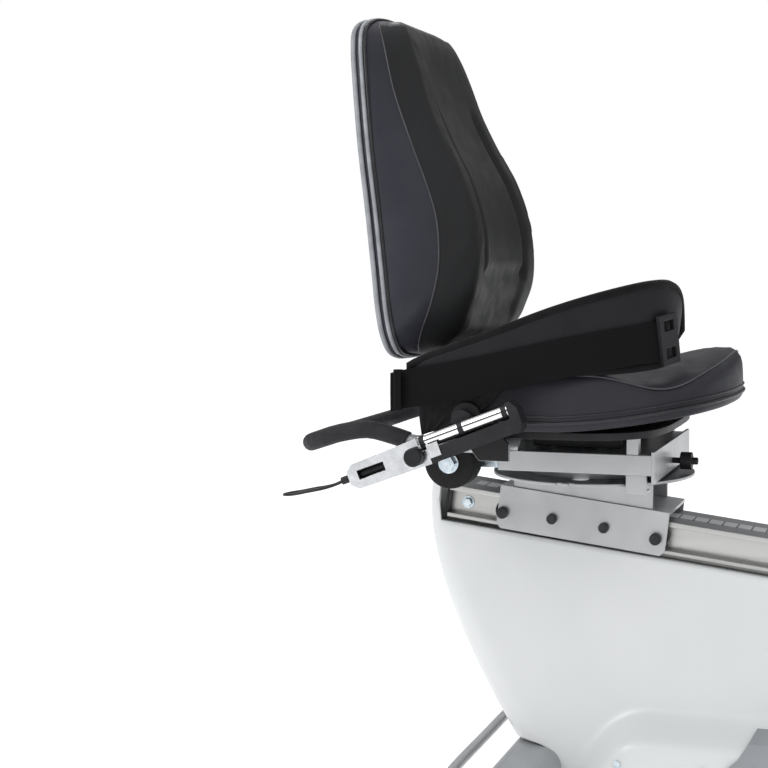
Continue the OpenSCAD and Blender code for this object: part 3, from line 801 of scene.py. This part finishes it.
def make_seat_cushion(mats):
    """The padded seat cover, its upper seam and the two cords round its lower edge."""
    rings = []
    angles = [2 * math.pi * k / SEAT_SIDES for k in range(SEAT_SIDES)]

    def ring(scale, pull, height):
        out = []
        for a in angles:
            x, y = seat_plan(a, scale, pull)
            out.append(SWIVEL + Vector((x, y, height(x, y))))
        return out

    wall = [(0.0, 0.010), (0.03, 0.004), (0.10, 0.0008), (0.22, 0.0), (0.40, 0.0008), (0.58, 0.0012),
            (0.74, 0.0018), (0.86, 0.0042), (0.94, 0.009), (0.985, 0.0165), (1.0, SEAM_PULL)]
    for share in (0.3, 0.7, 0.93):
        rings.append(ring(share, 0.012, lambda x, y: seat_low(x)))
    for rise, pull in wall:
        rings.append(ring(1.0, pull, lambda x, y, r=rise: seat_low(x) + r * (seat_top(x, y) - seat_low(x))))
    for share in (0.93, 0.85, 0.76, 0.66, 0.55, 0.44, 0.33, 0.22, 0.11, 0.04):
        rings.append(ring(share, SEAM_PULL, lambda x, y: seat_top(x, y) + 0.001))
    mesh = grid_mesh("seat_cushion_skin", rings)

    def pinned(co):
        x, y = co.x - SWIVEL.x, co.y
        share = (co.z - seat_low(x)) / (seat_top(x, y) - seat_low(x))
        reach = (abs(x) / SEAT_FRONT) ** 3 + (abs(y) / SEAT_HALF) ** 3
        return share < 0.22 or (0.90 < share < 0.975 and reach > 0.75)

    swell(mesh, lambda co: 0.0045, 0.007, pinned)
    finish_mesh(mesh, [mats["seat_vinyl"]])
    piece = make_object("seat_cushion_cover", mesh, "seat", ["seat_cushion"])
    path = []
    for a in angles:
        x, y = seat_plan(a, 1.0, 0.0085)
        path.append(SWIVEL + Vector((x, y, seat_low(x) + 0.942 * (seat_top(x, y) - seat_low(x)))))
    seam = finish_mesh(sweep("seat_seam", path, SEAM_R, 8, closed=True), [mats["piping_thin"]])
    make_object("seat_seam", seam, "seat")
    for i, (rise, radius) in enumerate(((0.012, 0.0026), (0.0205, 0.0013))):
        path = []
        for a in angles:
            x, y = seat_plan(a, 1.0, -0.0002)
            path.append(SWIVEL + Vector((x, y, seat_low(x) + rise)))
        mesh = finish_mesh(sweep(f"seat_piping_{i + 1}", path, radius, 8, closed=True),
                           [mats["dark_piping"]])
        make_object(f"seat_piping_{i + 1}", mesh, "seat")


# ---------------------------------------------------------------- belt
# The belt's line seen from above, then the pad's upper and lower edge along its length.
BELT_LINE = [(-0.190, -0.236), (-0.120, -0.238), (-0.050, -0.236), (0.020, -0.226), (0.080, -0.202),
             (0.118, -0.165), (0.134, -0.120), (0.132, -0.075)]
PAD_TOP = [(0.0, 0.612), (0.08, 0.626), (0.25, 0.652), (0.45, 0.684), (0.62, 0.705), (0.76, 0.7155),
           (0.86, 0.7125), (0.95, 0.690), (1.0, 0.655)]
PAD_LOW = [(0.0, 0.602), (0.2, 0.604), (0.5, 0.607), (0.75, 0.612), (0.9, 0.620), (1.0, 0.640)]
BELT_SAMPLES = 64
PAD_SIDES = 28
PAD_THICK = 0.0065
PAD_INSET = 0.004
BINDING_R = 0.0062


def belt_frame():
    """Points along the belt with their outward directions, in the row frame."""
    line = smooth_line([(x, y, 0) for x, y in BELT_LINE], 12)
    lengths = [0.0]
    for a, b in zip(line, line[1:]):
        lengths.append(lengths[-1] + (b - a).length)
    out = []
    for i in range(BELT_SAMPLES + 1):
        target = lengths[-1] * i / BELT_SAMPLES
        k = next(j for j in range(len(line) - 1) if lengths[j + 1] >= target - 1e-9)
        t = (target - lengths[k]) / (lengths[k + 1] - lengths[k])
        point = line[k].lerp(line[k + 1], t)
        way = (line[min(k + 2, len(line) - 1)] - line[max(k - 1, 0)]).normalized()
        out.append((point + SWIVEL, Vector((way.y, -way.x, 0))))
    return out


def make_belt_pad(mats):
    """The padded belt, thin at both ends, with a bound rim."""
    stations = belt_frame()
    n = len(stations) - 1
    rings = []
    rim = []
    for i, (p, out) in enumerate(stations):
        s = i / n
        top, low = curve_value(PAD_TOP, s), curve_value(PAD_LOW, s)
        lean = 0.010 * s
        thick = PAD_THICK * min(1.0, (s / 0.05) ** 0.5 if s > 0 else 0.35, max(0.35, (1 - s) / 0.06))
        ring = []
        for k in range(PAD_SIDES):
            a = 2 * math.pi * k / PAD_SIDES
            v = 0.5 + 0.5 * math.cos(a)
            z = low + (top - low) * v
            puff = thick * math.copysign(abs(math.sin(a)) ** 0.45, math.sin(a))
            ring.append(Vector((p.x, p.y, z)) + out * (puff - PAD_INSET + lean * (v - 0.5)))
        rings.append(ring)
        rim.append((Vector((p.x, p.y, top)) + out * (lean * 0.5 - PAD_INSET),
                    Vector((p.x, p.y, low)) + out * (-lean * 0.5 - PAD_INSET)))
    mesh = grid_mesh("belt_pad_cover", rings)
    tops = [a for a, _ in rim]
    lows = [b for _, b in rim]

    def pinned(co):
        return any((co - q).length < 0.006 for q in tops + lows)

    swell(mesh, lambda co: 0.0025, 0.004, pinned)
    finish_mesh(mesh, [mats["belt_vinyl"]])
    piece = make_object("belt_pad_cover", mesh, "seat", ["belt_pad"])
    loop = [a for a, _ in rim] + [b for _, b in reversed(rim)]
    mesh = finish_mesh(sweep("belt_binding", loop, BINDING_R, 10, closed=True), [mats["belt_fabric"]])
    make_object("belt_binding", mesh, "seat")


# Height of the webbing's middle along the belt.
STRAP_MID = [(0.0, 0.583), (0.1, 0.590), (0.25, 0.603), (0.45, 0.622), (0.6, 0.634), (0.72, 0.642),
             (0.78, 0.645)]
STRAP_WIDE = 0.050
STRAP_THICK = 0.0022
STRAP_GAP = 0.0052
STRAP_END = 0.80
# The anchor flap's upper edge, height, side and thickness.
FLAP_TOP = 0.611
FLAP_DROP = 0.091
FLAP_Y = -0.2277
FLAP_THICK = 0.0018
# The buckle's height, its middle's distance from the belt line and its tilt.
BUCKLE_Z = 0.6465
BUCKLE_OUT = 0.0075
BUCKLE_TILT = math.radians(9)


def strap_mesh(name, stations, centre):
    """Flat webbing along the stations, slightly crowned on its outer face."""
    rings = []
    for s, (p, out) in stations:
        z = centre(s)
        mid = Vector((p.x, p.y, z)) + out * STRAP_GAP
        h, t = STRAP_WIDE / 2, STRAP_THICK / 2
        rings.append([mid + Vector((0, 0, h)) - out * t, mid + Vector((0, 0, h)) + out * t,
                      mid + Vector((0, 0, h * 0.5)) + out * (t + 0.0004), mid + out * (t + 0.0006),
                      mid + Vector((0, 0, -h * 0.5)) + out * (t + 0.0004),
                      mid + Vector((0, 0, -h)) + out * t, mid + Vector((0, 0, -h)) - out * t,
                      mid - out * t])
    return grid_mesh(name, rings)


def make_belt_strap(mats):
    """The webbing from its folded rear end to the buckle."""
    stations = belt_frame()
    n = len(stations) - 1
    ahead = (stations[1][0] - stations[0][0]).normalized()
    run = [(-0.06 * (2 - i) / 2, (stations[0][0] - ahead * 0.012 * (2 - i), stations[0][1]))
           for i in range(2)]
    run += [(i / n, stations[i]) for i in range(int(n * STRAP_END))]
    mesh = strap_mesh("belt_webbing", run, lambda s: curve_value(STRAP_MID, max(0, s)) + min(0, s) * 0.1)
    finish_mesh(mesh, [mats["webbing"]], smooth=False)
    make_object("belt_webbing", mesh, "seat", ["belt_strap"])
    make_strap_fold(mats)


def make_strap_fold(mats):
    """The webbing's folded rear end, standing a little proud of the strap."""
    p, out = belt_frame()[0]
    rings = []
    for i in range(9):
        s = i / 8
        a = math.pi * (s * 1.25 - 0.1)
        mid = Vector((p.x - 0.010 - 0.007 * math.sin(a), p.y, 0.581))
        mid += out * (STRAP_GAP + STRAP_GAP * (1 - math.cos(a)))
        side = Vector((math.cos(a), 0, 0)) * STRAP_THICK / 2 + out * STRAP_THICK / 2 * math.sin(a)
        rise = UP * 0.026
        rings.append([mid + rise + side, mid + rise - side, mid - rise - side, mid - rise + side])
    mesh = finish_mesh(grid_mesh("strap_fold", rings), [mats["webbing"]], smooth=False)
    make_object("strap_fold", mesh, "seat")


def make_belt_flap(mats):
    """The belt's padded anchor flap, which hangs down beside the cushion to the frame."""
    rings = []
    columns = 26
    for i in range(31):
        v = i / 30
        z = FLAP_TOP - FLAP_DROP * v
        back = -0.190 + 0.014 * v
        front = -0.062 - 0.10 * v ** 2.2
        ring = []
        for k in range(columns):
            u = k / (columns - 1)
            x = back + (front - back) * u
            fold = 0.0007 * math.sin(26 * u + 5 * v) + 0.0005 * math.sin(47 * u - 9 * v + 1)
            ring.append(SWIVEL + Vector((x, FLAP_Y + fold, z)))
        rings.append(ring + [q + Vector((0, FLAP_THICK, 0)) for q in reversed(ring)])
    mesh = finish_mesh(grid_mesh("belt_flap", rings), [mats["belt_vinyl"]])
    piece = make_object("belt_flap", mesh, "seat")


def make_buckle(mats):
    """Side release buckle: one moulded frame with two side openings, and the webbing's short tail."""
    stations = belt_frame()
    p, out = stations[int((len(stations) - 1) * STRAP_END)]
    way = Vector((-out.y, out.x, 0))
    along = way * math.cos(BUCKLE_TILT) + UP * math.sin(BUCKLE_TILT)
    rise = UP * math.cos(BUCKLE_TILT) - way * math.sin(BUCKLE_TILT)
    centre = Vector((p.x, p.y, BUCKLE_Z)) + out * BUCKLE_OUT

    def plate(name, columns, levels, cells_kept, inner, outer, ease):
        """A plate of the kept cells with rounded edges, built face by face so each run gives one mesh."""
        bm = bmesh.new()
        corner = {(i, j, k): bm.verts.new(centre + along * u + rise * v + out * w)
                  for i, u in enumerate(columns) for j, v in enumerate(levels)
                  for k, w in enumerate((inner, outer))}
        for i, j in cells_kept:
            ring = [(i, j), (i + 1, j), (i + 1, j + 1), (i, j + 1)]
            for k in (0, 1):
                bm.faces.new([corner[(*p, k)] for p in ring])
            beside = ((i, j - 1), (i + 1, j), (i, j + 1), (i - 1, j))
            for cell, p, q in zip(beside, ring, ring[1:] + ring[:1]):
                if cell not in cells_kept:
                    bm.faces.new([corner[(*p, 0)], corner[(*q, 0)], corner[(*q, 1)], corner[(*p, 1)]])
        bmesh.ops.recalc_face_normals(bm, faces=bm.faces)
        bmesh.ops.dissolve_limit(bm, angle_limit=math.radians(1), verts=bm.verts, edges=bm.edges)
        sharp = [edge for edge in bm.edges if edge.calc_face_angle(0) > 0.5]
        bmesh.ops.bevel(bm, geom=sharp, offset=ease, segments=2, profile=0.6, affect="EDGES")
        bmesh.ops.recalc_face_normals(bm, faces=bm.faces)
        return mesh_from(bm, name)

    columns = (-0.013, -0.006, 0.013, 0.020)
    levels = (-0.033, -0.024, -0.011, 0.011, 0.024, 0.032)
    openings = ((1, 1), (1, 3))
    kept = [(i, j) for i in range(3) for j in range(5) if (i, j) not in openings]
    mesh = plate("buckle_frame", columns, levels, kept, -0.002, 0.0055, 0.0014)
    finish_mesh(mesh, [mats["black_plastic"]], smooth=False)
    make_object("buckle_frame", mesh, "seat", ["belt_buckle"])
    mesh = plate("webbing_tail", (0.016, 0.026), (-0.024, 0.024), [(0, 0)], -0.0015, 0.0008, 0.0004)
    finish_mesh(mesh, [mats["webbing"]], smooth=False)
    make_object("webbing_tail", mesh, "seat")


# ---------------------------------------------------------------- fairing
# The lip's upper edge and where it ends, how far the shell's edge lies under the rail's top line, and
# the height of the shell's foot.
LIP_TOP = 0.441
LIP_END = -0.204
RAIL_COVER = 0.0497
SHELL_FOOT = 0.0295
# How far in the upper flange reaches, the heights between which all columns share their rows, the wall.
FLANGE_IN = 0.0514
LEDGE_LOW = 0.1
LEDGE_HIGH = 0.16
SHELL_WALL = 0.003


def stern(t):
    """The fairing's rear edge seen from the side, as X and Z along a quadratic curve."""
    a, b, c = Vector((-0.229, LIP_TOP)), Vector((-0.256, 0.318)), Vector((-0.107, 0.091))
    return (1 - t) ** 2 * a + 2 * t * (1 - t) * b + t * t * c


STERN = [stern(i / 40) for i in range(41)]


def stern_x(z):
    """X of the fairing's rear edge at a height."""
    if z >= STERN[0].y:
        return STERN[0].x
    for a, b in zip(STERN, STERN[1:]):
        if b.y <= z <= a.y:
            return a.x + (b.x - a.x) * (a.y - z) / (a.y - b.y)
    return STERN[-1].x


def shell_low(x):
    """Lower edge of the fairing: it rises over the two floor bars."""
    arch = [(-0.107, 0.091), (-0.064, 0.0915), (-0.044, 0.088), (-0.030, 0.078), (-0.0215, 0.060),
            (-0.0185, 0.040), (-0.018, SHELL_FOOT)]
    if x < -0.018:
        return curve_value(arch, x)
    front = [(0.634, SHELL_FOOT), (0.6365, 0.066), (0.645, 0.084), (0.66, 0.0905), (0.70, 0.0905),
             (0.715, 0.084), (0.7235, 0.066), (0.726, SHELL_FOOT)]
    return curve_value(front, x) if front[0][0] < x < front[-1][0] else SHELL_FOOT


def shell_top(x):
    """Upper edge of the fairing: a lip behind the rail, then just under the rail."""
    under = RAIL_Z - x * math.tan(TILT) - RAIL_COVER / math.cos(TILT)
    t = min(1.0, max(0.0, (x - LIP_END) / 0.0012 + 1))
    return LIP_TOP * (1 - t) + under * t


def shell_half(x, z):
    """Half width of the fairing: taper, rounded rear and the flared skirt with its soft ledge."""
    drop = max(0.0, min(1.0, (0.38 - z) / 0.30))
    wide = 0.062 + 0.046 * drop ** 1.15
    start = smoothstep(0.0, 0.05, x + 0.012 - 0.8 * max(0.0, z - 0.06))
    ledge = 1 - smoothstep(0.108, 0.152, z)
    wide += 0.0456 * start * ledge
    edge = stern_x(z)
    radius = 0.040 + 0.03 * drop
    t = min(1.0, max(0.0, (x - edge) / radius))
    return wide * (1 - (1 - t) ** 2.3) ** (1 / 2.3)


def shell_levels(bottom, top):
    """Heights of one column's points: the same for every column round the ledge, so it has no folds."""
    return ([bottom + (LEDGE_LOW - bottom) * j / 8 for j in range(8)]
            + [LEDGE_LOW + (LEDGE_HIGH - LEDGE_LOW) * j / 14 for j in range(14)]
            + [LEDGE_HIGH + (top - LEDGE_HIGH) * j / 30 for j in range(31)])


def make_fairing(mats):
    """The smooth shell round both sides: its rear columns follow the stern, its lower edge the bars."""
    near = [0, 0.0005, 0.0016, 0.0033, 0.006, 0.0095, 0.0138, 0.019, 0.0236, 0.0244, 0.0264, 0.032, 0.04]
    low = [STERN[-1].x + d for d in near]
    low += [-0.06, -0.052, -0.044, -0.036, -0.030, -0.026, -0.0235, -0.0215, -0.0195, -0.0185, -0.018,
            -0.012, -0.004]
    low += [0.005 + 0.012 * i for i in range(15)] + [0.20 + 0.04 * i for i in range(11)]
    low += [0.62, 0.630, 0.634, 0.6365, 0.641, 0.647, 0.655, 0.665, 0.68, 0.695, 0.705, 0.713, 0.719,
            0.7235, 0.726, 0.73, 0.75, 0.775, 0.80, 0.8395]
    start = STERN[0].x + near[-1]
    high = [STERN[0].x + d for d in near]
    rest = low[len(near):]
    for x in rest:
        high.append(start + (x - low[len(near) - 1]) / (low[-1] - low[len(near) - 1]) * (low[-1] - start))
    rows = []
    for xb, xt in zip(low, high):
        bottom, top = shell_low(xb), shell_top(xt)
        fade = 1 - smoothstep(0.05, 0.40, xb - low[0])
        column = []
        for z in shell_levels(bottom, top):
            v = max(0.0, (z - STERN[-1].y) / (top - STERN[-1].y))
            follow = stern_x(z) - (low[0] + (high[0] - low[0]) * v)
            x = xb + (xt - xb) * v + fade * follow
            column.append(SWIVEL + Vector((x, shell_half(x, z), z)))
        edge = column[-1].copy()
        edge.y = min(edge.y, FLANGE_IN) if xt > LIP_END else edge.y - 0.0005
        column.append(edge)
        rows.append(column)
    other = [[Vector((q.x, -q.y, q.z)) for q in column] for column in rows]
    for q in rows[0]:
        q.y = 0
    mesh = grid_mesh("fairing_skin", list(reversed(rows)) + other[1:], closed_ring=False, cap=False)
    if faces_inward(mesh):
        mesh.flip_normals()
    mesh = shelled(mesh, "fairing_shell", SHELL_WALL)
    return finish_mesh(mesh, [mats["white_shell"]])


def faces_inward(mesh):
    """True if the skin's left side points towards the middle."""
    return sum(face.normal.y * face.area for face in mesh.polygons if face.center.y > 0.01) < 0


# ---------------------------------------------------------------- build
# CAD nodes whose edges are rounded, with the width of each edge.
EASED = {
    "seat_rail": 0.0006, "rail_end_caps": 0.0008, "rail_bolts": 0.0008, "support_legs": 0.002,
    "floor_bar_caps": 0.0015, "front_flange": 0.0015, "saddle": 0.0016, "riser": 0.002,
    "saddle_screws": 0.0008, "guide_pads": 0.0006, "swivel_plate": 0.0008, "lock_ring": 0.0008,
    "king_bolt": 0.0008, "seat_frame": 0.0012, "swivel_bearing": 0.0008, "front_plate": 0.0008,
    "keepers": 0.0012, "seat_posts": 0.0012, "seat_pan": 0.002, "pivot_brackets": 0.001,
    "roller_mounts": 0.001, "back_bracket": 0.001, "back_post": 0.002, "back_shell": 0.004,
    "step_pads": 0.0008, "cover_screws": 0.0006, "wheel_brackets": 0.0008, "lock_plunger": 0.0012,
    "seat_roller_right": 0.004, "seat_roller_left": 0.004, "transport_wheels": 0.005, "feet": 0.002,
    "floor_bars": 0.001, "arm_right": 0.003, "arm_left": 0.003, "arm_rod_right": 0.0008,
    "arm_rod_left": 0.0008, "arm_latch_right": 0.0012, "arm_latch_left": 0.0012,
    "clamp_knob_right": 0.0025, "clamp_knob_left": 0.0025,
}


# How far below the rail's top line its upward faces still get the painted dark reflection, then the
# height and the side beyond which the hub plates are black.
RAIL_REFLECTION_DEEP = 0.006
HUB_LOW = 0.522
HUB_OUT = 0.2285


def paint_faces(mats):
    """Second materials on parts of a piece: tops with a painted dark reflection, black rod rings and the
    blackened hub plates.
    """
    def second(node, name, test):
        piece = bpy.data.objects[node + "_eased"]
        piece.data.materials.append(mats[name])
        for face in piece.data.polygons:
            if test(face.center, face.normal):
                face.material_index = 1

    slope = math.tan(TILT)
    # Painted dark reflection on the rail's upward faces near its top line.
    second("seat_rail", "rail_top",
           lambda c, n: n.z > 0.9 and c.z > RAIL_Z - (c.x - SWIVEL.x) * slope - RAIL_REFLECTION_DEEP)
    # Painted dark reflection on the swivel plate's upward faces.
    second("swivel_plate", "plate_top_painted_reflection", lambda c, n: n.z > 0.9)
    second("pivot_brackets", "black_plastic", lambda c, n: c.z > HUB_LOW and abs(c.y) > HUB_OUT)
    axis = Vector((math.cos(ARM_TILT), 0, math.sin(ARM_TILT)))
    rise = Vector((-math.sin(ARM_TILT), 0, math.cos(ARM_TILT)))
    for side, name in ((-1, "right"), (1, "left")):
        origin = Vector((ARM_POINT.x, side * ARM_POINT.y, ARM_POINT.z)) + rise * ROD_RISE

        def ring(c, n):
            away = c - origin
            away = away - axis * away.dot(axis)
            return away.length > ROD_R + 0.0002
        second("arm_rod_" + name, "black_plastic", ring)


# Nodes whose finish differs from the usual one of their record slot.
FINISH = {"arm_latch_right": "satin_metal", "arm_latch_left": "satin_metal", "back_shell": "back_panel"}


def main():
    make_camera()
    make_studio()
    mats = make_materials()
    slots = {s["node"]: s["material_slot"] for s in frame["record"]["subparts"]}
    for node, obj in frame["nodes"].items():
        obj.data.materials.clear()
        obj.data.materials.append(mats[slots[node]])
    for node, width in EASED.items():
        mesh = eased(node, width)
        mesh.materials.append(mats[FINISH.get(node, slots[node])])
        make_object(node + "_eased", mesh, body_of(node), [node])
    make_back_cushion(mats)
    make_back_trim(mats)
    make_back_band(mats)
    make_seat_cushion(mats)
    make_belt_pad(mats)
    make_belt_strap(mats)
    make_belt_flap(mats)
    make_buckle(mats)
    make_object("fairing_cover", make_fairing(mats), "base",
                ["fairing_right", "fairing_left", "skirts"])
    paint_faces(mats)


main()
